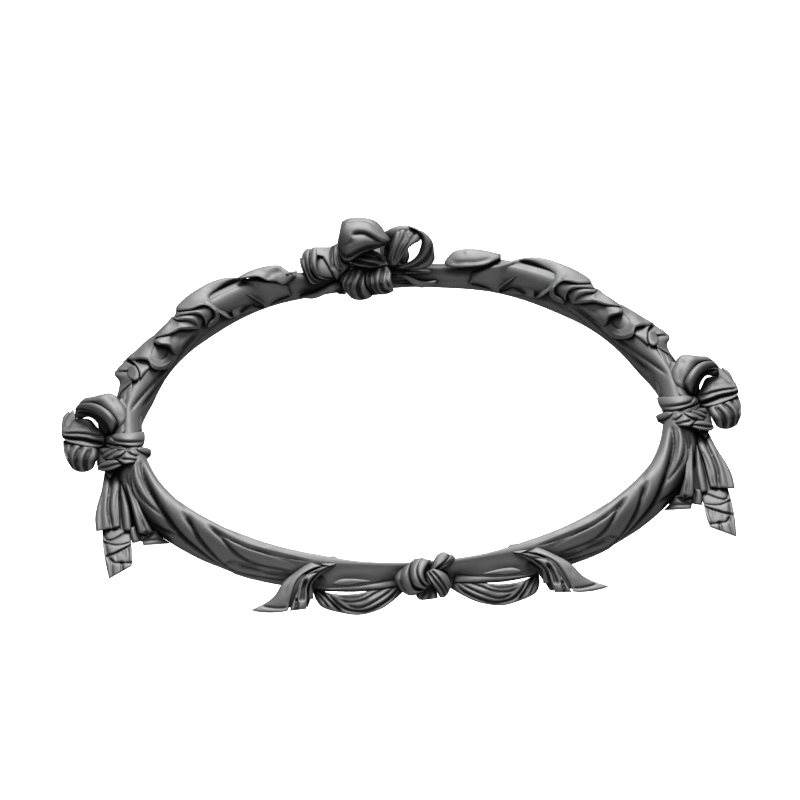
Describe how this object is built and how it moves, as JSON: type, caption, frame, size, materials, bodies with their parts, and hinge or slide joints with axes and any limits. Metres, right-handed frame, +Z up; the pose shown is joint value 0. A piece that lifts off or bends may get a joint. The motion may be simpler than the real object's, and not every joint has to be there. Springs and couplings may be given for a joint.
{
  "type": "round carved drapery frame",
  "caption": "Round wall frame carved as a ring of gathered cloth, tied with bows at the top and sides, with hanging tails and a knotted swag below.",
  "frame": {"origin": "middle of the flat hanging pad on the back, behind the bow at the top", "axes": "+Z up the wall, +X to the right seen from the front, +Y into the wall; the front faces -Y"},
  "size_m": [0.7898, 0.0743, 0.755],
  "materials": {
    "carved_wood": "satin graphite-grey painted finish over carved wood"
  },
  "bodies": {
    "root": {"carved_frame": "carved_wood"}
  },
  "joints": []
}
